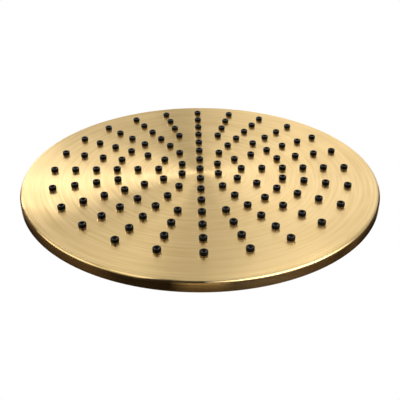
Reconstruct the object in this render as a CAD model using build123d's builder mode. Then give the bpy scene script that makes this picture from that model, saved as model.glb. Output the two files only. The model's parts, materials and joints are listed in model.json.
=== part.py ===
from build123d import *
from math import asin, cos, degrees, radians, sin, sqrt, tan
import os

# Slim round rain shower head on a ball joint, as it hangs: +Z up, spray face down.
# The origin is on the inlet's axis, where the inlet thread begins. Millimetres and degrees.

# Disc: a pressed face dish, closed by a pressed lid that nests in its rim
disc_diameter = 300.0
disc_thickness = 9.0
sheet_thickness = 1.0
face_bend_radius = 1.0
rim_lip_share = 0.4
lid_flange_depth = 4.0
lid_bend_radius = 0.4
lid_clearance = 0.05

# Nozzles: rings at one pitch, each nozzle pushed into a collar drawn from the face
nozzle_pitch = 17.65
nozzle_ring_counts = (1, 6, 12, 12, 24, 24, 24, 24)
first_nozzle_angle = 90.0
collar_radius = 2.95
collar_height = 2.7
collar_bore_radius = 2.35
stem_clearance = 0.05
stem_inner_reach = 1.0
head_base_radius = 3.15
head_tip_radius = 3.1
head_tip_chamfer = 0.3
head_length = 3.0
crater_radius = 2.1
crater_depth = 1.6
jet_bore_radius = 0.6

# Spacers between the two sheets, midway between two nozzle rings
post_count = 6
post_radius = 3.0
post_circle_pitches = 4.5
first_post_angle = 30.0

# Ball joint
ball_radius = 11.0
ball_clearance = 0.15
ball_end_wall = 1.5
neck_radius = 6.5
water_bore_radius = 4.5
tilt_limit = 15.0
tilt_margin = 2.0
neck_clearance = 1.5

# Slip ring over the ball and rubber seal under it
slip_ring_thickness = 1.4
slip_ring_clearance = 0.15
seal_wall = 0.9
seal_clearance = 0.05
seal_top_drop = 4.5
seal_floor = 1.5

# Boss in the back plate
boss_wall = 2.4
boss_top_drop = 1.4
boss_floor = 2.3
boss_water_radius = 7.0
boss_inner_reach = 1.5
boss_spigot_step = 1.2
boss_flange_margin = 5.0
boss_flange_thickness = 1.8
boss_flange_chamfer = 0.8
boss_solder_clearance = 0.05

# Cap nut
nut_wall = 3.0
nut_thread_clearance = 0.1
nut_lip_thickness = 1.6
nut_top_land = 2.5
nut_shoulder_drop = 5.0
nut_flat_depth = 1.1
nut_gap = 0.3

# Inlet: a G1/2 female thread at its minor diameter, in a hexagon
thread_minor_diameter = 18.63
thread_depth = 10.0
mouth_chamfer = 1.2
relief_radius = 10.7
washer_room = 3.0
hexagon_sides = 6
hexagon_across_flats = 27.0
hexagon_corner_angle = 30.0
hexagon_face_share = 0.96
body_floor = 1.2

# Sealing washer with a filter screen in its groove
washer_diameter = 18.5
washer_bore_radius = 6.0
washer_thickness = 2.0
mesh_thickness = 0.5
mesh_grip = 0.6
mesh_clearance = 0.02
mesh_hole_radius = 0.75
mesh_hole_pitch = 2.2
mesh_ring_counts = (1, 6, 12)

# Flow limiter in its pocket under the washer
limiter_radius = 7.0
limiter_clearance = 0.05
limiter_pocket_depth = 3.4
limiter_base = 1.2
limiter_wall = 1.0
limiter_post_radius = 1.5
limiter_hole_radius = 0.7
limiter_hole_circle = 3.5
limiter_hole_count = 6
limiter_ring_section = 0.8
limiter_ring_clearance = 0.05

# Heights of the inlet, downwards from the start of the thread
thread_radius = thread_minor_diameter / 2
washer_z = -(thread_depth + washer_room)
limiter_z = washer_z - limiter_pocket_depth
body_bottom_z = limiter_z - body_floor

# Ball seat: concentric spheres about the ball's centre
seat_radius = ball_radius + ball_clearance
slip_ring_outer_radius = seat_radius + slip_ring_thickness
nut_seat_radius = slip_ring_outer_radius + slip_ring_clearance
opening_angle = degrees(asin(neck_radius / nut_seat_radius)) + tilt_limit + tilt_margin
slip_ring_low_angle = 90 + degrees(asin(boss_top_drop / nut_seat_radius)) - tilt_limit - tilt_margin

# Cap nut sizes, and the neck's length, which lets the nut tilt clear of the hexagon
seat_edge_radius = nut_seat_radius * sin(radians(opening_angle))
seat_edge_height = nut_seat_radius * cos(radians(opening_angle))
nut_top_height = seat_edge_height + nut_lip_thickness
nut_mouth_radius = seat_edge_radius + nut_lip_thickness * tan(radians(tilt_limit + tilt_margin))
nut_top_radius = nut_mouth_radius + nut_top_land
nut_rise = nut_top_height * cos(radians(tilt_limit)) + nut_top_radius * sin(radians(tilt_limit))
ball_z = body_bottom_z - nut_rise - neck_clearance

# Boss sizes and the heights of the disc
seal_radius = ball_radius + seal_wall
seal_pocket_radius = seal_radius + seal_clearance
boss_thread_radius = seal_pocket_radius + boss_wall
boss_spigot_radius = boss_thread_radius - boss_spigot_step
nut_bore_radius = boss_thread_radius + nut_thread_clearance
nut_radius = nut_bore_radius + nut_wall
boss_flange_radius = nut_radius + boss_flange_margin
boss_top_z = ball_z - boss_top_drop
seal_lip_z = ball_z - sqrt(seat_radius**2 - boss_water_radius**2)
seal_bottom_z = seal_lip_z - seal_floor
seal_top_z = ball_z - seal_top_drop
seal_top_radius = sqrt(seat_radius**2 - seal_top_drop**2)
boss_bottom_z = seal_bottom_z - boss_floor
back_z = boss_bottom_z + boss_inner_reach + sheet_thickness
flange_top_z = back_z + boss_flange_thickness
nut_bottom_z = flange_top_z + nut_gap
nut_top_z = ball_z + nut_top_height
face_z = back_z - disc_thickness
collar_tip_z = face_z - collar_height
nozzle_tip_z = collar_tip_z - head_length
stem_top_z = face_z + sheet_thickness + stem_inner_reach

disc_radius = disc_diameter / 2
rim_inner_radius = disc_radius - sheet_thickness
lid_radius = rim_inner_radius - lid_clearance
stem_radius = collar_bore_radius - stem_clearance
ring_count = len(nozzle_ring_counts)

os.makedirs("parts", exist_ok=True)

# Face plate: the dish, its collars and the holes through both
with BuildPart() as face_plate:
    with BuildSketch(Plane.XZ) as dish:
        with BuildLine():
            Polyline(
                (0, face_z),
                (disc_radius, face_z),
                (disc_radius, back_z),
                (rim_inner_radius, back_z),
                (rim_inner_radius, face_z + sheet_thickness),
                (0, face_z + sheet_thickness),
                close=True,
            )
        make_face()
        fillet(dish.vertices().group_by(Axis.Y)[1].sort_by(Axis.X)[-1], face_bend_radius)
        fillet(dish.vertices().group_by(Axis.Y)[0].sort_by(Axis.X)[-1], face_bend_radius + sheet_thickness)
        fillet(dish.vertices().group_by(Axis.Y)[-1], rim_lip_share * sheet_thickness)
    revolve(axis=Axis.Z)
    with BuildSketch(Plane.XY.offset(face_z)):
        for ring in range(ring_count):
            with PolarLocations(ring * nozzle_pitch, nozzle_ring_counts[ring], start_angle=first_nozzle_angle):
                Circle(collar_radius)
    extrude(amount=-collar_height)
    with BuildSketch(Plane.XY.offset(collar_tip_z)):
        for ring in range(ring_count):
            with PolarLocations(ring * nozzle_pitch, nozzle_ring_counts[ring], start_angle=first_nozzle_angle):
                Circle(collar_bore_radius)
    extrude(amount=collar_height + sheet_thickness, mode=Mode.SUBTRACT)
face_plate.part.label = "face_plate"
export_step(face_plate.part, "parts/face_plate.step")

# One nozzle: a head that seats on the collar's lip, a stem through the collar, and the jet bore with its crater
with BuildPart() as nozzle:
    with BuildSketch(Plane.XZ):
        with BuildLine():
            Polyline(
                (jet_bore_radius, nozzle_tip_z + crater_depth),
                (crater_radius, nozzle_tip_z),
                (head_tip_radius - head_tip_chamfer, nozzle_tip_z),
                (head_tip_radius, nozzle_tip_z + head_tip_chamfer),
                (head_base_radius, collar_tip_z),
                (stem_radius, collar_tip_z),
                (stem_radius, stem_top_z),
                (jet_bore_radius, stem_top_z),
                close=True,
            )
        make_face()
    revolve(axis=Axis.Z)

for ring in range(ring_count):
    with BuildPart() as nozzle_ring:
        with PolarLocations(ring * nozzle_pitch, nozzle_ring_counts[ring], start_angle=first_nozzle_angle):
            add(nozzle.part)
    ring_name = f"nozzle_ring_{ring}" if ring else "nozzle_center"
    nozzle_ring.part.label = ring_name
    export_step(nozzle_ring.part, f"parts/{ring_name}.step")

# Back plate: a lid with a flange turned down inside the rim
with BuildPart() as back_plate:
    with BuildSketch(Plane.XZ) as lid:
        hole_radius = boss_spigot_radius + boss_solder_clearance
        with BuildLine():
            Polyline(
                (hole_radius, back_z),
                (lid_radius, back_z),
                (lid_radius, back_z - lid_flange_depth),
                (lid_radius - sheet_thickness, back_z - lid_flange_depth),
                (lid_radius - sheet_thickness, back_z - sheet_thickness),
                (hole_radius, back_z - sheet_thickness),
                close=True,
            )
        make_face()
        fillet(lid.vertices().group_by(Axis.Y)[1].sort_by(Axis.X)[-1], lid_bend_radius)
        fillet(lid.vertices().group_by(Axis.Y)[-1].sort_by(Axis.X)[-1], lid_bend_radius + sheet_thickness)
    revolve(axis=Axis.Z)
back_plate.part.label = "back_plate"
export_step(back_plate.part, "parts/back_plate.step")

# Support posts: spacers from sheet to sheet
with BuildPart() as support_posts:
    with BuildSketch(Plane.XY.offset(face_z + sheet_thickness)):
        with PolarLocations(post_circle_pitches * nozzle_pitch, post_count, start_angle=first_post_angle):
            Circle(post_radius)
    extrude(amount=disc_thickness - 2 * sheet_thickness)
support_posts.part.label = "support_posts"
export_step(support_posts.part, "parts/support_posts.step")

# Inlet boss: a flange on the back plate, a spigot through it, and a threaded collar for the nut
with BuildPart() as inlet_boss:
    with BuildSketch(Plane.XZ) as turning:
        with BuildLine():
            Polyline(
                (boss_water_radius, boss_bottom_z),
                (boss_spigot_radius, boss_bottom_z),
                (boss_spigot_radius, back_z),
                (boss_flange_radius, back_z),
                (boss_flange_radius, flange_top_z),
                (boss_thread_radius, flange_top_z),
                (boss_thread_radius, boss_top_z),
                (seal_pocket_radius, boss_top_z),
                (seal_pocket_radius, seal_bottom_z),
                (boss_water_radius, seal_bottom_z),
                close=True,
            )
        make_face()
        chamfer(turning.vertices().sort_by(Axis.X)[-2:].sort_by(Axis.Y)[-1], boss_flange_chamfer)
    revolve(axis=Axis.Z)
inlet_boss.part.label = "inlet_boss"
export_step(inlet_boss.part, "parts/inlet_boss.step")

# Ball seal: a ring in the boss whose inner wall is part of a sphere
with BuildPart() as ball_seal:
    with BuildSketch(Plane.XZ):
        with BuildLine():
            Polyline(
                (seal_top_radius, seal_top_z),
                (seal_radius, seal_top_z),
                (seal_radius, seal_bottom_z),
                (boss_water_radius, seal_bottom_z),
                (boss_water_radius, seal_lip_z),
            )
            RadiusArc((boss_water_radius, seal_lip_z), (seal_top_radius, seal_top_z), -seat_radius)
        make_face()
    revolve(axis=Axis.Z)
ball_seal.part.label = "ball_seal"
export_step(ball_seal.part, "parts/ball_seal.step")

# Slip ring: a belt cut from a hollow sphere, over the ball
with BuildPart() as slip_ring:
    with BuildSketch(Plane.XZ):
        belt_start = 90 - slip_ring_low_angle
        belt_turn = slip_ring_low_angle - opening_angle
        with BuildLine():
            outer = CenterArc((0, ball_z), slip_ring_outer_radius, belt_start, belt_turn)
            inner = CenterArc((0, ball_z), seat_radius, belt_start, belt_turn)
            Line(outer @ 0, inner @ 0)
            Line(outer @ 1, inner @ 1)
        make_face()
    revolve(axis=Axis.Z)
slip_ring.part.label = "slip_ring"
export_step(slip_ring.part, "parts/slip_ring.step")

# Cap nut: a spherical seat over the slip ring, a flared mouth for the neck, and two wrench flats
with BuildPart() as cap_nut:
    with BuildSketch(Plane.XZ):
        with BuildLine():
            seat = CenterArc((0, ball_z), nut_seat_radius, 0, 90 - opening_angle)
            Polyline(
                seat @ 1,
                (nut_mouth_radius, nut_top_z),
                (nut_top_radius, nut_top_z),
                (nut_radius, nut_top_z - nut_shoulder_drop),
                (nut_radius, nut_bottom_z),
                (nut_bore_radius, nut_bottom_z),
                (nut_bore_radius, boss_top_z),
                (nut_seat_radius, boss_top_z),
                seat @ 0,
            )
        make_face()
    revolve(axis=Axis.Z)
    with BuildSketch(Plane.XY.offset(nut_bottom_z)):
        Rectangle(2 * (nut_radius - nut_flat_depth), 2 * nut_radius)
    extrude(amount=nut_top_z - nut_bottom_z, mode=Mode.INTERSECT)
cap_nut.part.label = "cap_nut"
export_step(cap_nut.part, "parts/cap_nut.step")

# Ball connector: hexagon with turned corners, neck, ball and the bores through them
with BuildPart() as ball_connector:
    with BuildSketch(Plane.XY.offset(body_bottom_z)):
        RegularPolygon(hexagon_across_flats / 2, hexagon_sides, major_radius=False)
    extrude(amount=mouth_chamfer - body_bottom_z)
    with BuildSketch(Plane.XZ):
        corner_radius = hexagon_across_flats / 2 / cos(radians(180 / hexagon_sides))
        end_radius = hexagon_face_share * hexagon_across_flats / 2
        corner_drop = (corner_radius - end_radius) * tan(radians(hexagon_corner_angle))
        with BuildLine():
            Polyline(
                (0, body_bottom_z),
                (end_radius, body_bottom_z),
                (corner_radius, body_bottom_z + corner_drop),
                (corner_radius, mouth_chamfer - corner_drop),
                (end_radius, mouth_chamfer),
                (0, mouth_chamfer),
                close=True,
            )
        make_face()
    revolve(axis=Axis.Z, mode=Mode.INTERSECT)
    with BuildSketch(Plane.XZ):
        ball_end_radius = water_bore_radius + ball_end_wall
        neck_end_z = ball_z + sqrt(ball_radius**2 - neck_radius**2)
        ball_end_z = ball_z - sqrt(ball_radius**2 - ball_end_radius**2)
        with BuildLine():
            Polyline((neck_radius, neck_end_z), (neck_radius, body_bottom_z))
            Polyline((neck_radius, body_bottom_z), (0, body_bottom_z), (0, ball_end_z))
            Line((0, ball_end_z), (ball_end_radius, ball_end_z))
            ThreePointArc((ball_end_radius, ball_end_z), (ball_radius, ball_z), (neck_radius, neck_end_z))
        make_face()
    revolve(axis=Axis.Z)
    with BuildSketch(Plane.XZ):
        pocket_radius = limiter_radius + limiter_clearance
        with BuildLine():
            Polyline(
                (0, mouth_chamfer),
                (thread_radius + mouth_chamfer, mouth_chamfer),
                (thread_radius, 0),
                (thread_radius, -thread_depth),
                (relief_radius, -thread_depth),
                (relief_radius, washer_z),
                (pocket_radius, washer_z),
                (pocket_radius, limiter_z),
                (water_bore_radius, limiter_z),
                (water_bore_radius, ball_end_z),
                (0, ball_end_z),
                close=True,
            )
        make_face()
    revolve(axis=Axis.Z, mode=Mode.SUBTRACT)
ball_connector.part.label = "ball_connector"
export_step(ball_connector.part, "parts/ball_connector.step")

# Inlet washer, with a groove that grips the filter screen
mesh_radius = washer_bore_radius + mesh_grip
mesh_z = washer_z + (washer_thickness - mesh_thickness) / 2
with BuildPart() as inlet_washer:
    with BuildSketch(Plane.XY.offset(washer_z)):
        Circle(washer_diameter / 2)
        Circle(washer_bore_radius, mode=Mode.SUBTRACT)
    extrude(amount=washer_thickness)
    with BuildSketch(Plane.XY.offset(mesh_z - mesh_clearance)):
        Circle(mesh_radius + mesh_clearance)
    extrude(amount=mesh_thickness + 2 * mesh_clearance, mode=Mode.SUBTRACT)
inlet_washer.part.label = "inlet_washer"
export_step(inlet_washer.part, "parts/inlet_washer.step")

# Filter screen: a disc with rings of holes
with BuildPart() as filter_mesh:
    with BuildSketch(Plane.XY.offset(mesh_z)):
        Circle(mesh_radius)
        for ring in range(len(mesh_ring_counts)):
            with PolarLocations(ring * mesh_hole_pitch, mesh_ring_counts[ring]):
                Circle(mesh_hole_radius, mode=Mode.SUBTRACT)
    extrude(amount=mesh_thickness)
filter_mesh.part.label = "filter_mesh"
export_step(filter_mesh.part, "parts/filter_mesh.step")

# Flow limiter: a cup with a middle post and a ring of holes in its floor
with BuildPart() as flow_limiter:
    with BuildSketch(Plane.XY.offset(limiter_z)):
        Circle(limiter_radius)
    extrude(amount=limiter_pocket_depth)
    with BuildSketch(Plane.XY.offset(limiter_z + limiter_base)):
        Circle(limiter_radius - limiter_wall)
        Circle(limiter_post_radius, mode=Mode.SUBTRACT)
    extrude(amount=limiter_pocket_depth - limiter_base, mode=Mode.SUBTRACT)
    with BuildSketch(Plane.XY.offset(limiter_z)):
        with PolarLocations(limiter_hole_circle, limiter_hole_count):
            Circle(limiter_hole_radius)
    extrude(amount=limiter_base, mode=Mode.SUBTRACT)
flow_limiter.part.label = "flow_limiter"
export_step(flow_limiter.part, "parts/flow_limiter.step")

# Limiter ring: a rubber ring round the post
with BuildPart() as limiter_ring:
    ring_center_radius = limiter_post_radius + limiter_ring_clearance + limiter_ring_section
    ring_center_z = limiter_z + limiter_base + limiter_ring_clearance + limiter_ring_section
    with BuildSketch(Plane.XZ):
        with Locations((ring_center_radius, ring_center_z)):
            Circle(limiter_ring_section)
    revolve(axis=Axis.Z)
limiter_ring.part.label = "limiter_ring"
export_step(limiter_ring.part, "parts/limiter_ring.step")

print(f"ball centre {ball_z:.3f}, back {back_z:.3f}, face {face_z:.3f}, nozzle tips {nozzle_tip_z:.3f}")
print(f"nut mouth opens at {opening_angle:.2f} degrees, slip ring ends at {slip_ring_low_angle:.2f} degrees")
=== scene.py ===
import json
import math
import bpy
import numpy as np
from mathutils import Matrix, Vector
from mathutils.geometry import delaunay_2d_cdt


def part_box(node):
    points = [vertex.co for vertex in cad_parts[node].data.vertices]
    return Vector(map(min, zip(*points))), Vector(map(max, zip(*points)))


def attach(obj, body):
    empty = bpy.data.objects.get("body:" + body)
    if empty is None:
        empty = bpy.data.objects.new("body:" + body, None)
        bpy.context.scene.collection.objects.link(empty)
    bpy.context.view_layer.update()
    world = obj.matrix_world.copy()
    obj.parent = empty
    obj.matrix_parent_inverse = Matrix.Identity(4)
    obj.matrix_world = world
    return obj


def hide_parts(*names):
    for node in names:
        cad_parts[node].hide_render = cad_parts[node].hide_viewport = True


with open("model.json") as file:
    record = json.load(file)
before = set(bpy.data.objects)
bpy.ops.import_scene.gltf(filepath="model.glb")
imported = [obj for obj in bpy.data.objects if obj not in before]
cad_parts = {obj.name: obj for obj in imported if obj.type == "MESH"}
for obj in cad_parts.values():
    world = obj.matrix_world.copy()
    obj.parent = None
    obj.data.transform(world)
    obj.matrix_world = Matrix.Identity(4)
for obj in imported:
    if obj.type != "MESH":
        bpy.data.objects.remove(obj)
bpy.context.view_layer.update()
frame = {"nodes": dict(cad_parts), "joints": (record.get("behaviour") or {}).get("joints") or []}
mm = 0.001
fullTurn = 2 * math.pi
ballZ = frame["joints"][0]["pos_m"][2]  # the ball joint's centre


# Shader maths: arithmetic on wires adds Math nodes
class Wire:
    def __init__(self, finish, socket):
        self.finish = finish
        self.socket = socket

    def pick(self, output):
        return Wire(self.finish, self.socket.node.outputs[output])

    def calc(self, operation, first, second):
        return self.finish.node("ShaderNodeMath", {"operation": operation}, {0: first, 1: second})

    def __add__(self, other):
        return self.calc("ADD", self, other)

    def __radd__(self, other):
        return self.calc("ADD", other, self)

    def __sub__(self, other):
        return self.calc("SUBTRACT", self, other)

    def __rsub__(self, other):
        return self.calc("SUBTRACT", other, self)

    def __mul__(self, other):
        return self.calc("MULTIPLY", self, other)

    def __rmul__(self, other):
        return self.calc("MULTIPLY", other, self)

    def __truediv__(self, other):
        return self.calc("DIVIDE", self, other)

    def __rtruediv__(self, other):
        return self.calc("DIVIDE", other, self)

    def __pow__(self, other):
        return self.calc("POWER", self, other)


class Finish:
    def __init__(self, name, constants):
        self.material = bpy.data.materials.new(name)
        self.material.use_nodes = True
        self.tree = self.material.node_tree
        self.shader = self.tree.nodes["Principled BSDF"]
        for socket, value in constants.items():
            self.shader.inputs[socket].default_value = value

    # Settings are set first, then each socket gets its value or link
    def node(self, kind, settings=None, sockets=None, output=0):
        made = self.tree.nodes.new(kind)
        for key, value in (settings or {}).items():
            setattr(made, key, value)
        for key, value in (sockets or {}).items():
            self.feed(made.inputs[key], value)
        return Wire(self, made.outputs[output])

    def feed(self, socket, value):
        if isinstance(value, Wire):
            self.tree.links.new(value.socket, socket)
        else:
            socket.default_value = value

    def varies(self, **sockets):
        for key, value in sockets.items():
            self.feed(self.shader.inputs[key.replace("_", " ")], value)


def mixColour(finish, share, first, second):
    return finish.node("ShaderNodeMix", {"data_type": "RGBA"}, {0: share, 6: first, 7: second}, output=2)


def smoothStep(finish, value, start, end):
    # 0 before start, 1 past end, and smooth between them
    return finish.node(
        "ShaderNodeMapRange", {"interpolation_type": "SMOOTHSTEP"}, {0: value, 1: start, 2: end}
    )


# Runs: an outline in (radius, height), with a normal at each point
tiny = 1e-6  # a smaller turn or cosine counts as none


def unit(vector):
    return vector / np.linalg.norm(vector)


def roundedRun(rows, closed=True):
    # Each row is (radius, height, rounding, steps). An arc of the rounding's radius touches the two
    # straight runs that meet in the row's corner. A normal is the run's direction turned a quarter to the
    # right, and swings evenly through each arc. A rounding of 0 keeps the corner, with the mean normal.
    points, normals = [], []
    corners = np.array([row[:2] for row in rows], float)
    for i, row in enumerate(rows):
        rounding, steps = row[2:]
        back = unit(corners[i] - corners[i - 1])
        ahead = unit(corners[(i + 1) % len(rows)] - corners[i])
        if not closed and i == 0:
            back = ahead
        if not closed and i == len(rows) - 1:
            ahead = back
        turn = math.atan2(back[0] * ahead[1] - back[1] * ahead[0], back @ ahead)
        hasArc = rounding and abs(turn) > tiny
        share = np.linspace(0, 1, steps + 1) if hasArc else np.array([0.5])
        heading = math.atan2(-back[0], back[1]) + turn * share
        normal = np.stack([np.cos(heading), np.sin(heading)], 1)
        touch = corners[i] - back * rounding * math.tan(abs(turn) / 2)
        points.append(touch + math.copysign(rounding, turn) * (normal - np.array([back[1], -back[0]])))
        normals.append(normal)
    return np.concatenate(points), np.concatenate(normals)


def sphereRun(radius, start, end, steps, facing):
    # An arc of a sphere about the ball's centre, by angle above the horizon. Facing is 1 for an outer wall
    # and -1 for a seat.
    angle = np.radians(np.linspace(start, end, steps + 1))
    normal = np.stack([np.cos(angle), np.sin(angle)], 1)
    return np.array([0, ballZ]) + radius * normal, facing * normal


def joined(*runs):
    return tuple(np.concatenate(parts) for parts in zip(*runs))


def turned(run, segments, centres=((0, 0),), closed=True):
    # The run is carried round each centre: x = cx + r cos t, y = cy + r sin t, z = height
    points, normals = run
    angle = np.arange(segments) * fullTurn / segments
    around = np.stack([np.cos(angle), np.sin(angle)], 1)
    centre = np.array(centres, float)
    shape = (len(centre), segments, len(points), 3)
    place, facing = np.empty(shape), np.empty(shape)
    place[..., :2] = centre[:, None, None, :] + around[None, :, None, :] * points[None, None, :, :1]
    place[..., 2] = points[:, 1]
    facing[..., :2] = around[None, :, None, :] * normals[None, None, :, :1]
    facing[..., 2] = normals[:, 1]
    index = np.arange(place[..., 0].size).reshape(shape[:3])
    return place.reshape(-1, 3), facing.reshape(-1, 3), gridFaces(index, closed), index


def gridFaces(index, closed):
    # Quads between each column and the next one round, and each row and the next one along
    beside = np.roll(index, -1, axis=-2)
    if closed:
        corners = [index, beside, np.roll(beside, -1, axis=-1), np.roll(index, -1, axis=-1)]
    else:
        corners = [index[..., :-1], beside[..., :-1], beside[..., 1:], index[..., 1:]]
    return np.stack(corners, -1).reshape(-1, 4)


def gridNormals(place):
    # The cross product of the steps to both sides, round and along
    around = np.roll(place, -1, axis=0) - np.roll(place, 1, axis=0)
    along = np.roll(place, -1, axis=1) - np.roll(place, 1, axis=1)
    normal = np.cross(around, along)
    return normal / np.linalg.norm(normal, axis=-1, keepdims=True)


def softLeast(first, second, blend):
    # The smaller of two values, with a rounded corner as wide as blend where they meet
    share = np.clip(0.5 + 0.5 * (second - first) / blend, 0, 1)
    return second + (first - second) * share - blend * share * (1 - share)


def makePiece(name, points, faces, normals, finish):
    mesh = bpy.data.meshes.new(name)
    mesh.from_pydata(points.tolist(), [], faces)
    mesh.polygons.foreach_set("use_smooth", np.ones(len(mesh.polygons), bool))
    mesh.normals_split_custom_set_from_vertices(normals.tolist())
    mesh.materials.append(finish.material)
    piece = bpy.data.objects.new(name, mesh)
    bpy.context.scene.collection.objects.link(piece)
    print(name, len(points), "points,", len(faces), "faces")
    return piece


def stand(piece, body, node):
    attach(piece, body)
    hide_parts(node)


# Finishes
sheetLook = {
    "light": (0.74, 0.55, 0.268, 1),
    "dark": (0.60, 0.422, 0.178, 1),
    "roughness": 0.39,
    "roughnessSpread": 0.10,
    "rimRoughness": 0.15,
    "collarRoughness": 0.22,
    "collarShadeTone": (0.23, 0.165, 0.08, 1),  # painted shade: dark reflection and shade under the nozzle's head, put in the collar's colour
    "collarShadeStart": -51.5 * mm,  # the height where a collar's painted shade begins
    "collarShadeEnd": -53.2 * mm,
    "wallStart": 147.5 * mm,  # the radius where the plate begins to turn into the rim's wall
    "wallEnd": 149.4 * mm,
    "fineLines": 1500,  # brush lines in a metre
    "wideLines": 420,
    "bands": 60,
    "shares": (0.35, 0.4, 0.25),  # of fine lines, wide lines and bands in the grain
    "noise": {"Scale": 1, "Detail": 1, "Roughness": 0.5},
    "arc": 2.0,  # how soon a line fades along its circle
    "contrast": 4.0,
    "wander": 0.06,  # how far a line leans along its circle
    "depth": 0.03 * mm,
    "fineDepth": 0.5,  # of a wide line's depth
}


def brushedFinish(name, look, constants):
    # Lines that circle the axis: noise that changes fast across them, by radius and height, and slowly
    # round the circle
    finish = Finish(name, constants)
    place = finish.node("ShaderNodeTexCoord", output="Object")
    split = finish.node("ShaderNodeSeparateXYZ", None, {0: place})
    x, y, z = split, split.pick(1), split.pick(2)
    radius = (x * x + y * y) ** 0.5
    across = radius - z

    def lines(count, arc):
        spot = finish.node(
            "ShaderNodeCombineXYZ", None, {0: across * count, 1: x / radius * arc, 2: y / radius * arc}
        )
        return finish.node("ShaderNodeTexNoise", None, {"Vector": spot, **look["noise"]})

    fine = lines(look["fineLines"], 2 * look["arc"])
    wide = lines(look["wideLines"], look["arc"])
    band = lines(look["bands"], 0.5 * look["arc"])
    fineShare, wideShare, bandShare = look["shares"]
    grain = fine * fineShare + wide * wideShare + band * bandShare
    # The rim's wall, past the bend, is brushed finer
    wall = smoothStep(finish, radius, look["wallStart"], look["wallEnd"])
    # Each line leans a little along its circle: the normal plus a share of the circle's direction
    lean = (fine * 0.5 + wide * 0.5 - 0.5) * look["wander"]
    along = finish.node("ShaderNodeCombineXYZ", None, {0: lean * (0 - y) / radius, 1: lean * x / radius})
    along = finish.node(
        "ShaderNodeVectorTransform",
        {"vector_type": "VECTOR", "convert_from": "OBJECT", "convert_to": "WORLD"},
        {0: along},
    )
    upright = finish.node("ShaderNodeNewGeometry", output="Normal")
    leaning = finish.node("ShaderNodeVectorMath", {"operation": "ADD"}, {0: upright, 1: along})
    leaning = finish.node("ShaderNodeVectorMath", {"operation": "NORMALIZE"}, {0: leaning})
    # A collar is smoother from its foot towards the nozzle's head, and painted darker there: painted shade
    # and painted dark reflection
    collarShadeRamp = smoothStep(finish, z, look["collarShadeStart"], look["collarShadeEnd"])
    rough = look["roughness"] + wall * (look["rimRoughness"] - look["roughness"])
    rough = rough + collarShadeRamp * (look["collarRoughness"] - look["roughness"])
    tone = mixColour(finish, (grain - 0.5) * look["contrast"] + 0.5, look["dark"], look["light"])
    finish.varies(
        # The collar's colour carries painted shade that darkens it towards the nozzle's head
        Base_Color=mixColour(finish, collarShadeRamp, tone, look["collarShadeTone"]),
        Roughness=(grain - 0.5) * look["roughnessSpread"] * 2 + rough,
        Normal=finish.node(
            "ShaderNodeBump",
            None,
            {
                "Strength": 1,
                "Distance": look["depth"],
                "Height": fine * look["fineDepth"] + wide,
                "Normal": leaning,
            },
        ),
    )
    return finish


goldSheet = brushedFinish(
    "goldSheet", sheetLook, {"Metallic": 1, "Anisotropic": 1, "Anisotropic Rotation": 0.25}
)

brassLook = {
    **sheetLook,
    "roughness": 0.3,
    "roughnessSpread": 0.08,
    "fineLines": 2600,
    "wideLines": 900,
    "bands": 160,
    "contrast": 2.2,
}
goldBrass = brushedFinish(
    "goldBrass", brassLook, {"Metallic": 1, "Anisotropic": 0.6, "Anisotropic Rotation": 0.25}
)

# Two colours and a roughness for each moulded or rolled material, and what their skins share
softLook = {
    "silicone": ((0.0004, 0.0004, 0.0004, 1), (0.0012, 0.0011, 0.0011, 1), 0.3),
    "rubber": ((0.016, 0.016, 0.016, 1), (0.034, 0.033, 0.032, 1), 0.6),
    "plastic": ((0.74, 0.74, 0.71, 1), (0.83, 0.83, 0.80, 1), 0.42),
    "steel": ((0.52, 0.52, 0.51, 1), (0.68, 0.68, 0.66, 1), 0.32),
}
skin = {"cloud": 260, "grain": 5200, "detail": 2, "gloss": 0.2, "bump": 0.5, "depth": 0.01 * mm}


def mouldedFinish(name, constants):
    # A moulded skin: soft cloudy colour, and a fine even grain in the gloss and the bump
    dark, light, roughness = softLook[name]
    finish = Finish(name, constants)
    place = finish.node("ShaderNodeTexCoord", output="Object")
    cloud, grain = (
        finish.node(
            "ShaderNodeTexNoise", None, {"Vector": place, "Scale": skin[scale], "Detail": skin["detail"]}
        )
        for scale in ("cloud", "grain")
    )
    bump = {"Strength": skin["bump"], "Distance": skin["depth"], "Height": grain}
    finish.varies(
        Base_Color=mixColour(finish, cloud, dark, light),
        Roughness=(grain - 0.5) * skin["gloss"] + roughness,
        Normal=finish.node("ShaderNodeBump", None, bump),
    )
    return finish


silicone = mouldedFinish("silicone", {"IOR": 1.45, "Specular IOR Level": 0.17})
rubber = mouldedFinish("rubber", {"IOR": 1.5})
plastic = mouldedFinish("plastic", {"IOR": 1.48})
steel = mouldedFinish("steel", {"Metallic": 1})
print("finishes ready")

# Disc: a face dish with a drawn collar round each nozzle hole
disc = {
    "segments": 360,
    "sheet": 1.0 * mm,
    "bend": 2.0 * mm,
    "bendSteps": (8, 6),  # outside and inside
    "lip": 0.2 * mm,
    "lipSteps": 4,
    "collarSegments": 16,
    "collarRadius": 2.95 * mm,
    "collarHeight": 2.7 * mm,
    "collarBore": 2.35 * mm,
    "collarRoot": 0.9 * mm,
    "collarLip": 0.2 * mm,
    "past": 1.001,  # a run's last row lies just past its arc
    "weld": 1e-9,  # points nearer than this are one point in the flat sheet
}
field = {"counts": (1, 6, 12, 12, 24, 24, 24, 24), "firstAngle": 90.0, "headRadius": 3.15 * mm}

faceLow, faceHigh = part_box("face_plate")
discRadius = max(faceHigh.x, faceHigh.y)
backZ = faceHigh.z
collarTipZ = faceLow.z
faceZ = collarTipZ + disc["collarHeight"]
lastRing = len(field["counts"]) - 1
pitch = (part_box(f"nozzle_ring_{lastRing}")[1].y - field["headRadius"]) / lastRing


def ringCentres(ring):
    # Centres at equal angles on a circle of so many pitches
    count = field["counts"][ring]
    angle = math.radians(field["firstAngle"]) + np.arange(count) * fullTurn / count
    return ring * pitch * np.stack([np.cos(angle), np.sin(angle)], 1)


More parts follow.
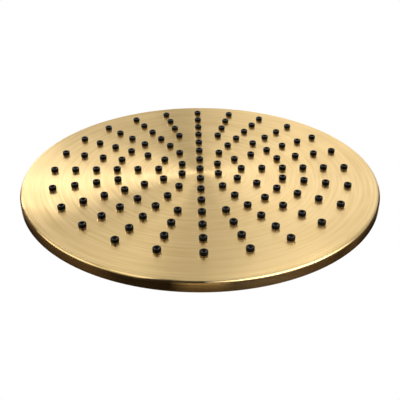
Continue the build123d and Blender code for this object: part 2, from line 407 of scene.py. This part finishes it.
def flatSheet(points, loops, facing):
    # A flat face between the rim's loop and the nozzle holes: triangles over all of the loops' points,
    # without those that lie in a hole
    order = np.concatenate(loops)
    spots = points[order, :2]
    starts = np.cumsum([0] + [len(loop) for loop in loops])
    runs = [np.arange(a, b) for a, b in zip(starts[:-1], starts[1:])]
    edges = np.concatenate([np.stack([run, np.roll(run, -1)], 1) for run in runs])
    made = delaunay_2d_cdt([Vector(spot) for spot in spots], edges.tolist(), [], 0, disc["weld"])
    source = np.array([first[0] for first in made[3]])
    triangles = source[np.array(made[2])]
    loopOf = np.repeat(np.arange(len(loops)), np.diff(starts))[triangles]
    inHole = (loopOf[:, 0] > 0) & (loopOf[:, 0] == loopOf[:, 1]) & (loopOf[:, 0] == loopOf[:, 2])
    triangles = triangles[~inHole]
    corner = spots[triangles]
    first, second = corner[:, 1] - corner[:, 0], corner[:, 2] - corner[:, 0]
    area = first[:, 0] * second[:, 1] - first[:, 1] * second[:, 0]
    triangles[area * facing < 0] = triangles[area * facing < 0][:, ::-1]
    return order[triangles]


def facePlate():
    sheet, bend = disc["sheet"], disc["bend"]
    outerSteps, innerSteps = disc["bendSteps"]
    lip, lipSteps = disc["lip"], disc["lipSteps"]
    outer = bend + sheet
    innerZ = faceZ + sheet
    rimInner = discRadius - sheet
    rimRun = roundedRun(
        [
            (discRadius - outer, faceZ, 0, 0),
            (discRadius, faceZ, outer, outerSteps),
            (discRadius, backZ, lip, lipSteps),
            (rimInner, backZ, lip, lipSteps),
            (rimInner, innerZ, bend, innerSteps),
            (discRadius - outer, innerZ, 0, 0),
        ],
        closed=False,
    )
    rimRun = tuple(part[1:-1] for part in rimRun)  # the bends begin at the end points
    bore, wall = disc["collarBore"], disc["collarRadius"]
    collarRun = roundedRun(
        [
            (bore, innerZ, 0, 0),
            (bore, collarTipZ, disc["collarLip"], 1),
            (wall, collarTipZ, disc["collarLip"], 2),
            (wall, faceZ, disc["collarRoot"], 4),
            (wall + disc["collarRoot"] * disc["past"], faceZ, 0, 0),
        ],
        closed=False,
    )
    collarRun = tuple(part[:-1] for part in collarRun)
    collarRun[1][0] = (0, 1)  # the inner edge shades with the flat sheet
    centres = np.concatenate([ringCentres(ring) for ring in range(len(field["counts"]))])
    rimPoints, rimNormals, rimFaces, rimIndex = turned(rimRun, disc["segments"], closed=False)
    points, normals, faces, index = turned(collarRun, disc["collarSegments"], centres, closed=False)
    index = index + len(rimPoints)
    points = np.concatenate([rimPoints, points])
    normals = np.concatenate([rimNormals, normals])
    below = flatSheet(points, [rimIndex[0, :, 0], *index[:, :, -1]], -1)
    above = flatSheet(points, [rimIndex[0, :, -1], *index[:, :, 0]], 1)
    quads = np.concatenate([rimFaces, faces + len(rimPoints)])
    triangles = np.concatenate([below, above])
    return makePiece("facePlate", points, quads.tolist() + triangles.tolist(), normals, goldSheet)


sprayPieces = [facePlate()]
stand(sprayPieces[0], "head", "face_plate")

# Nozzles: a soft head on the collar, with a crater round its jet, and a stem through the collar
nozzle = {
    "segments": 14,
    "tipRadius": 3.1 * mm,
    "tipRounding": 0.5 * mm,
    "baseRounding": 0.25 * mm,
    "craterRadius": 2.1 * mm,
    "craterDepth": 1.6 * mm,
    "craterRounding": 0.3 * mm,
    "stemRadius": 2.3 * mm,
    "jetRadius": 0.6 * mm,
}


def nozzleRing(ring, node):
    low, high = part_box(node)
    tipZ, stemTopZ = low.z, high.z
    run = roundedRun(
        [
            (nozzle["jetRadius"], tipZ + nozzle["craterDepth"], 0, 0),
            (nozzle["craterRadius"], tipZ, nozzle["craterRounding"], 2),
            (nozzle["tipRadius"], tipZ, nozzle["tipRounding"], 3),
            (field["headRadius"], collarTipZ, nozzle["baseRounding"], 1),
            (nozzle["stemRadius"], collarTipZ, 0, 0),
            (nozzle["stemRadius"], stemTopZ, 0, 0),
            (nozzle["jetRadius"], stemTopZ, 0, 0),
        ]
    )
    points, normals, faces = turned(run, nozzle["segments"], ringCentres(ring))[:3]
    name = f"nozzleRing{ring}" if ring else "nozzleCentre"
    piece = makePiece(name, points, faces.tolist(), normals, silicone)
    piece.visible_glossy = False  # no dark mirror images of the nozzles in the plate
    stand(piece, "head", node)
    return piece


for ring in range(len(field["counts"])):
    sprayPieces.append(nozzleRing(ring, f"nozzle_ring_{ring}" if ring else "nozzle_center"))

# Back: a lid that nests in the rim, with a turned boss in its middle
lid = {"segments": 360, "sheet": 1.0 * mm, "bend": 0.4 * mm, "edge": 0.12 * mm, "hole": 13.2 * mm}


def backPlate():
    low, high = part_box("back_plate")
    radius, sheet = max(high.x, high.y), lid["sheet"]
    run = roundedRun(
        [
            (lid["hole"], high.z - sheet, lid["edge"], 2),
            (radius - sheet, high.z - sheet, lid["bend"], 4),
            (radius - sheet, low.z, lid["edge"], 2),
            (radius, low.z, lid["edge"], 2),
            (radius, high.z, lid["bend"] + sheet, 8),
            (lid["hole"], high.z, lid["edge"], 2),
        ]
    )
    points, normals, faces = turned(run, lid["segments"])[:3]
    return makePiece("backPlate", points, faces.tolist(), normals, goldSheet)


stand(backPlate(), "head", "back_plate")

boss = {
    "segments": 160,
    "edge": 0.15 * mm,
    "flange": 1.8 * mm,
    "flangeChamfer": 0.8 * mm,
    "thread": 14.35 * mm,
    "spigot": 13.15 * mm,
    "sealPocket": 11.95 * mm,
    "sealFloor": 2.3 * mm,
    "water": 7.0 * mm,
}


def inletBoss():
    low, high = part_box("inlet_boss")
    edge, flangeTop, chamfer = boss["edge"], backZ + boss["flange"], boss["flangeChamfer"]
    radius = max(high.x, high.y)
    run = roundedRun(
        [
            (boss["water"], low.z, edge, 2),
            (boss["spigot"], low.z, edge, 2),
            (boss["spigot"], backZ, 0, 0),
            (radius, backZ, edge, 2),
            (radius, flangeTop - chamfer, edge, 2),
            (radius - chamfer, flangeTop, edge, 2),
            (boss["thread"], flangeTop, edge, 2),
            (boss["thread"], high.z, edge, 2),
            (boss["sealPocket"], high.z, edge, 2),
            (boss["sealPocket"], low.z + boss["sealFloor"], 0, 0),
            (boss["water"], low.z + boss["sealFloor"], edge, 2),
        ]
    )
    points, normals, faces = turned(run, boss["segments"])[:3]
    return makePiece("inletBoss", points, faces.tolist(), normals, goldBrass)


stand(inletBoss(), "head", "inlet_boss")

# Cap nut: a turned shell with a seat for the ball, and two flats for a wrench
nut = {
    "segments": 240,
    "edge": 0.35 * mm,
    "fineEdge": 0.15 * mm,
    "bore": 14.45 * mm,
    "seat": 12.7 * mm,
    "seatSteps": 12,
    "mouthAngle": 47.78,  # where the seat opens, from the axis
    "seatStart": 2.0,  # degrees from the mouth to the seat's first row
    "mouth": 9.89 * mm,
    "top": 12.39 * mm,
    "shoulder": 5.0 * mm,
    "flatBlend": 0.35 * mm,
}


def capNut():
    low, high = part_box("cap_nut")
    edge, fine = nut["edge"], nut["fineEdge"]
    radius, flat = high.y, high.x
    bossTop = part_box("inlet_boss")[1].z
    mouthAngle = math.radians(nut["mouthAngle"])
    shell = roundedRun(
        [
            (nut["seat"], bossTop, 0, 0),
            (nut["bore"], bossTop, 0, 0),
            (nut["bore"], low.z, fine, 2),
            (radius, low.z, edge, 3),
            (radius, high.z - nut["shoulder"], 3 * edge, 5),
            (nut["top"], high.z, edge, 4),
            (nut["mouth"], high.z, fine, 2),
            (nut["seat"] * math.sin(mouthAngle), ballZ + nut["seat"] * math.cos(mouthAngle), 0, 0),
        ],
        closed=False,
    )
    seat = sphereRun(nut["seat"], 90 - nut["mouthAngle"] - nut["seatStart"], 0, nut["seatSteps"], -1)
    points, normals, faces = turned(joined(shell, seat), nut["segments"])[:3]
    grid = points.reshape(nut["segments"], -1, 3)
    distance = np.hypot(grid[..., 0], grid[..., 1])
    # Flats: each lies at its distance over the cosine of the angle from its middle
    limit = flat / np.maximum(np.abs(grid[..., 0]) / distance, tiny)
    grid[..., :2] *= (softLeast(distance, limit, nut["flatBlend"]) / distance)[..., None]
    return makePiece("capNut", points, faces.tolist(), gridNormals(grid).reshape(-1, 3), goldBrass)


stand(capNut(), "head", "cap_nut")

# Ball connector: a hexagon with turned corners and a threaded inlet, on a neck and a ball
connector = {
    "segments": 180,
    "edge": 0.2 * mm,
    "ballRadius": 11.0 * mm,
    "ballSteps": 28,
    "ballEnd": 6.0 * mm,
    "neck": 6.5 * mm,
    "neckFillet": 0.8 * mm,
    "bodyBottom": -17.6 * mm,
    "endShare": 0.96,
    "cornerSlope": 30.0,
    "coneSteps": 10,
    "hexSides": 6,
    "hexBlend": 0.3 * mm,
    "hexFrom": 12.0 * mm,  # the hexagon shapes only what is wider than this
    "threadRadius": 9.315 * mm,
    "threadLength": 10.0 * mm,
    "threadPitch": 1.814 * mm,
    "threadDepth": 1.1 * mm,
    "threadFade": 0.7,  # of a pitch, at both ends
    "rowsPerPitch": 12,
    "mouthChamfer": 1.2 * mm,
    "relief": 10.7 * mm,
    "washerZ": -13.0 * mm,
    "limiterPocket": 7.05 * mm,
    "limiterZ": -16.4 * mm,
    "waterBore": 4.5 * mm,
}


def coneRows(start, end, edge, steps):
    # A straight run in even steps, so that the hexagon's flats can cut it in a smooth curve
    share = np.linspace(0, 1, steps + 1)[1:-1, None]
    between = np.array(start) + share * (np.array(end) - np.array(start))
    return [(*start, edge, 2), *[(r, z, 0, 0) for r, z in between], (*end, 0, 0)]


def ballConnector():
    c = connector
    low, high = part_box("ball_connector")
    mouthZ, flat = high.z, high.y
    side = fullTurn / c["hexSides"]
    corner = flat / math.cos(side / 2)
    end = c["endShare"] * flat
    drop = (corner - end) * math.tan(math.radians(c["cornerSlope"]))
    edge, thread = c["edge"], c["threadRadius"]
    endAngle = math.degrees(math.acos(c["ballEnd"] / c["ballRadius"]))
    neckAngle = math.degrees(math.acos(c["neck"] / c["ballRadius"]))
    ball = sphereRun(c["ballRadius"], -endAngle, neckAngle, c["ballSteps"], 1)
    body = roundedRun(
        [
            (c["neck"], ballZ + c["ballRadius"] * math.sin(math.radians(neckAngle)), 0, 0),
            (c["neck"], c["bodyBottom"], c["neckFillet"], 4),
            *coneRows((end, c["bodyBottom"]), (corner, c["bodyBottom"] + drop), edge, c["coneSteps"]),
            *coneRows((end, mouthZ), (corner, mouthZ - drop), edge, c["coneSteps"])[::-1],
            (thread + c["mouthChamfer"], mouthZ, edge, 2),
            (thread, 0, 0, 0),
            (thread, -c["threadLength"], 0, 0),
        ],
        closed=False,
    )
    rows = int(c["rowsPerPitch"] * c["threadLength"] / c["threadPitch"])
    threadZ = np.linspace(0, -c["threadLength"], rows + 2)[1:-1]
    threadRun = (
        np.stack([np.full(rows, thread), threadZ], 1),
        np.tile([-1.0, 0.0], (rows, 1)),
    )
    bores = roundedRun(
        [
            (thread, -c["threadLength"], 0, 0),
            (c["relief"], -c["threadLength"], 0, 0),
            (c["relief"], c["washerZ"], 0, 0),
            (c["limiterPocket"], c["washerZ"], edge, 2),
            (c["limiterPocket"], c["limiterZ"], 0, 0),
            (c["waterBore"], c["limiterZ"], edge, 2),
            (c["waterBore"], low.z, edge, 2),
            (c["ballEnd"], low.z, 0, 0),
        ],
        closed=False,
    )
    body = tuple(part[1:-1] for part in body)  # the ball and the bores have these end points
    bores = tuple(part[:-1] for part in bores)
    points, normals, faces = turned(joined(ball, body, threadRun, bores), c["segments"])[:3]
    grid = points.reshape(c["segments"], -1, 3)
    distance = np.hypot(grid[..., 0], grid[..., 1])
    angle = np.arctan2(grid[..., 1], grid[..., 0])
    # Hexagon: a flat lies at its distance over the cosine of the angle from the flat's middle
    limit = flat / np.cos(np.mod(angle, side) - side / 2)
    shaped = np.where(distance > c["hexFrom"], softLeast(distance, limit, c["hexBlend"]), distance)
    # Thread: a wave along a helix, outwards from the bore, that fades in and out
    first = len(ball[0]) + len(body[0])
    rowZ = grid[:, first:first + rows, 2]
    wave = 0.5 - 0.5 * np.cos(fullTurn * rowZ / c["threadPitch"] + angle[:, first:first + rows])
    fade = c["threadFade"] * c["threadPitch"]
    ends = np.clip(np.minimum(-rowZ, rowZ + c["threadLength"]) / fade, 0, 1)
    shaped[:, first:first + rows] = thread + c["threadDepth"] * wave * ends
    grid[..., :2] *= (shaped / distance)[..., None]
    return makePiece("ballConnector", points, faces.tolist(), gridNormals(grid).reshape(-1, 3), goldBrass)


stand(ballConnector(), "inlet", "ball_connector")

# Inner pieces keep their solids
innerFinishes = {
    "support_posts": (steel, "steel"),
    "filter_mesh": (steel, "steel"),
    "ball_seal": (rubber, "black_rubber"),
    "inlet_washer": (rubber, "black_rubber"),
    "limiter_ring": (rubber, "black_rubber"),
    "slip_ring": (plastic, "white_plastic"),
    "flow_limiter": (plastic, "white_plastic"),
}
for node, (finish, slot) in innerFinishes.items():
    solid = frame["nodes"][node]
    solid.data.materials.clear()
    solid.data.materials.append(finish.material)
print("inner pieces dressed")

# Studio: a pale floor, a white surround, soft lamps, and cards for the metal to reflect
rimTint = (1, 0.67, 0.4)
glowTint = (1, 0.77, 0.5)
whiteTint = (1, 1, 1)
studio = {
    "floorZ": -2.6,
    "floorRadius": 40.0,
    "floorSides": 128,
    "floorColour": (0.72, 0.72, 0.715, 1),
    "floorRoughness": 0.9,
    "surroundLight": 0.9,
    "cardPoints": 97,  # round a card
    # cards: outline in (radius, z), tint, levels by bearing
    "cards": {
        "rimCard": (
            ((0.178, -0.060), (0.178, -0.008)),
            rimTint,
            (
                (85, 0.55), (93, 0.03), (98, 0.06), (113, 0.06), (119, 0.13), (129, 0.06), (138, 0.11),
                (156, 0.1), (168, 0.06), (184, 0.06), (190, 0.022), (207, 0.024), (218, 0.1), (240, 0.09),
                (262, 0.06), (268, 0.03), (276, 0.6),
            ),
        ),
        "rimGlow": (
            ((0.176, -0.060), (0.176, -0.0275)),
            glowTint,
            ((171, 0.06), (176, 0.4), (184, 0.4), (190, 0.03)),
        ),
        "lipCard": (
            ((0.178, -0.008), (0.156, 0.012)),
            rimTint,
            ((85, 0.55), (93, 0.008), (268, 0.008), (276, 0.6)),
        ),
        "leftShade": (
            ((0.178, -0.060), (0.173, -0.077)),
            rimTint,
            ((234, 0.7), (240, 0.15), (256, 0.15), (264, 0.7)),
        ),
        "cameraCard": (
            ((0.35, -1.05), (0.8, -0.8), (0.8, -0.07)),
            whiteTint,
            ((148, 0.02), (212, 0.02)),
        ),
        "edgeCard": (
            ((0.158, -0.0615), (0.158, -0.0552)),
            whiteTint,
            ((104, 0.8), (128, 0.8), (136, 3.5), (143, 7), (163, 7), (170, 5), (175, 2.5), (180, 0.3)),
        ),
        "edgeCardLeft": (
            ((0.158, -0.0612), (0.158, -0.0562)),
            whiteTint,
            ((207, 0.5), (214, 3), (232, 3.5), (240, 1)),
        ),
    },
    # lamps: bearing from the far side towards the right of the picture, degrees below the horizon,
    # distance, size, radiance
    "lamps": {
        "farRight": (9, 21, 1.5, (0.4, 0.4), 2.2),
        "farRightHigh": (18, 38, 1.5, (0.5, 0.5), 2.05),
        "farMiddle": (349, 19, 1.5, (0.35, 0.4), 1.8),
        "farLeft": (330, 21, 1.5, (0.45, 0.45), 3.8),
        "left": (304, 16, 1.5, (0.5, 0.5), 4.35),
        "farLeftHigh": (340, 50, 1.3, (0.5, 0.5), 1.25),
        "under": (180, 84, 1.0, (0.3, 0.3), 1.2),
        "farOver": (0, 62, 1.2, (0.4, 0.4), 0.4),
        "nearLeftHigh": (228, 50, 1.2, (0.5, 0.5), 1.5),
        "topLamp": (126, -60, 1.6, (0.9, 0.9), 3.0),
    },
}


def floorPiece():
    # A wide flat circle
    sides = studio["floorSides"]
    angle = np.arange(sides) * fullTurn / sides
    edge = studio["floorRadius"] * np.stack([np.cos(angle), np.sin(angle)], 1)
    points = np.column_stack([edge, np.full(sides, studio["floorZ"])])
    mesh = bpy.data.meshes.new("floor")
    mesh.from_pydata(points.tolist(), [], [list(range(sides))])
    pale = Finish("paleFloor", {"Base Color": studio["floorColour"], "Roughness": studio["floorRoughness"]})
    mesh.materials.append(pale.material)
    floor = bpy.data.objects.new("floor", mesh)
    bpy.context.scene.collection.objects.link(floor)


def studioCard(name, outline, tint, levels):
    # An outline carried round the axis, that only reflections see. Its glow runs evenly from level to
    # level.
    bearing, level = np.array(levels, float).T
    span = np.linspace(bearing[0], bearing[-1], studio["cardPoints"])
    turn = np.radians(span)
    radius, height = np.array(outline).T
    place = np.empty((len(turn), len(radius), 3))
    place[..., 0] = -np.sin(turn)[:, None] * radius
    place[..., 1] = np.cos(turn)[:, None] * radius
    place[..., 2] = height
    index = np.arange(place[..., 0].size).reshape(len(turn), -1)
    faces = np.stack([index[:-1, :-1], index[1:, :-1], index[1:, 1:], index[:-1, 1:]], -1)
    mesh = bpy.data.meshes.new(name)
    mesh.from_pydata(place.reshape(-1, 3).tolist(), [], faces.reshape(-1, 4).tolist())
    glow = np.ones((len(turn), len(radius), 4))
    glow[..., :3] = np.interp(span, bearing, level)[:, None, None] * np.array(tint)
    mesh.attributes.new("glow", "FLOAT_COLOR", "POINT").data.foreach_set("color", glow.ravel())
    plain = Finish(name, {"Base Color": (0, 0, 0, 1), "Specular IOR Level": 0, "Emission Strength": 1})
    shown = plain.node("ShaderNodeAttribute", {"attribute_name": "glow"}, output="Color")
    plain.varies(Emission_Color=shown)
    mesh.materials.append(plain.material)
    card = bpy.data.objects.new(name, mesh)
    card.visible_camera = False
    card.visible_diffuse = False
    card.visible_shadow = False
    card.visible_transmission = False
    bpy.context.scene.collection.objects.link(card)


def whiteSurround():
    # White where the camera, a reflection or a clear material sees it, and a little less as light
    world = bpy.data.worlds.new("surround")
    bpy.context.scene.world = world
    world.use_nodes = True
    nodes, links = world.node_tree.nodes, world.node_tree.links
    path = nodes.new("ShaderNodeLightPath")
    level = nodes.new("ShaderNodeMix")
    level.inputs[2].default_value = studio["surroundLight"]
    level.inputs[3].default_value = 1
    seen = path.outputs["Is Camera Ray"]
    for ray in ("Is Glossy Ray", "Is Transmission Ray"):
        either = nodes.new("ShaderNodeMath")
        either.operation = "MAXIMUM"
        links.new(seen, either.inputs[0])
        links.new(path.outputs[ray], either.inputs[1])
        seen = either.outputs[0]
    links.new(seen, level.inputs[0])
    nodes["Background"].inputs["Color"].default_value = (1, 1, 1, 1)
    links.new(level.outputs[0], nodes["Background"].inputs["Strength"])


def unshaded(pieces):
    # Pieces that stand in no lamp's way, so that no nozzle darkens the plate in front of it
    group = bpy.data.collections.new("unshaded")
    for piece in pieces:
        group.objects.link(piece)
    for entry in group.collection_objects:
        entry.light_linking.link_state = "EXCLUDE"
    return group


def softLamp(name, clearPieces, bearing, drop, distance, size, radiance):
    # A rectangular lamp that faces the disc; its power is radiance times pi times its area
    turn, fall = math.radians(bearing), math.radians(drop)
    level = math.cos(fall)
    direction = Vector((-math.sin(turn) * level, math.cos(turn) * level, -math.sin(fall)))
    light = bpy.data.lights.new(name, "AREA")
    light.shape = "RECTANGLE"
    light.size, light.size_y = size
    light.energy = radiance * math.pi * size[0] * size[1]
    lamp = bpy.data.objects.new(name, light)
    aim = Vector((0, 0, faceZ))
    lamp.location = aim + direction * distance
    lamp.rotation_mode = "QUATERNION"
    lamp.rotation_quaternion = (aim - lamp.location).to_track_quat("-Z", "Y")
    lamp.visible_camera = False
    lamp.light_linking.blocker_collection = clearPieces
    bpy.context.scene.collection.objects.link(lamp)


floorPiece()
for name, values in studio["cards"].items():
    studioCard(name, *values)
whiteSurround()
clearPieces = unshaded(sprayPieces)
for name, values in studio["lamps"].items():
    softLamp(name, clearPieces, *values)
print("studio lit")

# Camera: below the spray face, rolled so that the face's outside is up in the picture
shot = {
    "elevation": 27.496,  # below the disc
    "turn": 1.18,
    "distance": 0.5128,
    "tilt": 2.978,
    "aimDrop": 3.52 * mm,  # the aim lies this far below the spray face
    "focalPixels": 598.8,
    "imagePixels": 400,
    "sensor": 36.0,
    "nearest": 0.01,
}


def mainCamera():
    rise, tilt, turn = (math.radians(shot[key]) for key in ("elevation", "tilt", "turn"))
    back = Vector((0, -math.cos(rise), -math.sin(rise)))
    ahead, up = -back, Vector((0, math.sin(rise), -math.cos(rise)))
    forward = math.cos(tilt) * ahead - math.sin(tilt) * up
    upward = math.cos(tilt) * up + math.sin(tilt) * ahead
    right = forward.cross(upward)
    spin = Matrix.Rotation(turn, 3, "Z")
    pose = Matrix((spin @ right, spin @ upward, spin @ -forward)).transposed().to_4x4()
    pose.translation = Vector((0, 0, faceZ - shot["aimDrop"])) + spin @ back * shot["distance"]
    lens = bpy.data.cameras.new("mainCamera")
    lens.sensor_width = shot["sensor"]
    lens.lens = shot["sensor"] * shot["focalPixels"] / shot["imagePixels"]
    lens.clip_start = shot["nearest"]
    camera = bpy.data.objects.new("mainCamera", lens)
    camera.matrix_world = pose
    bpy.context.scene.collection.objects.link(camera)
    bpy.context.scene.camera = camera


mainCamera()
bpy.context.scene.view_settings.view_transform = "Standard"
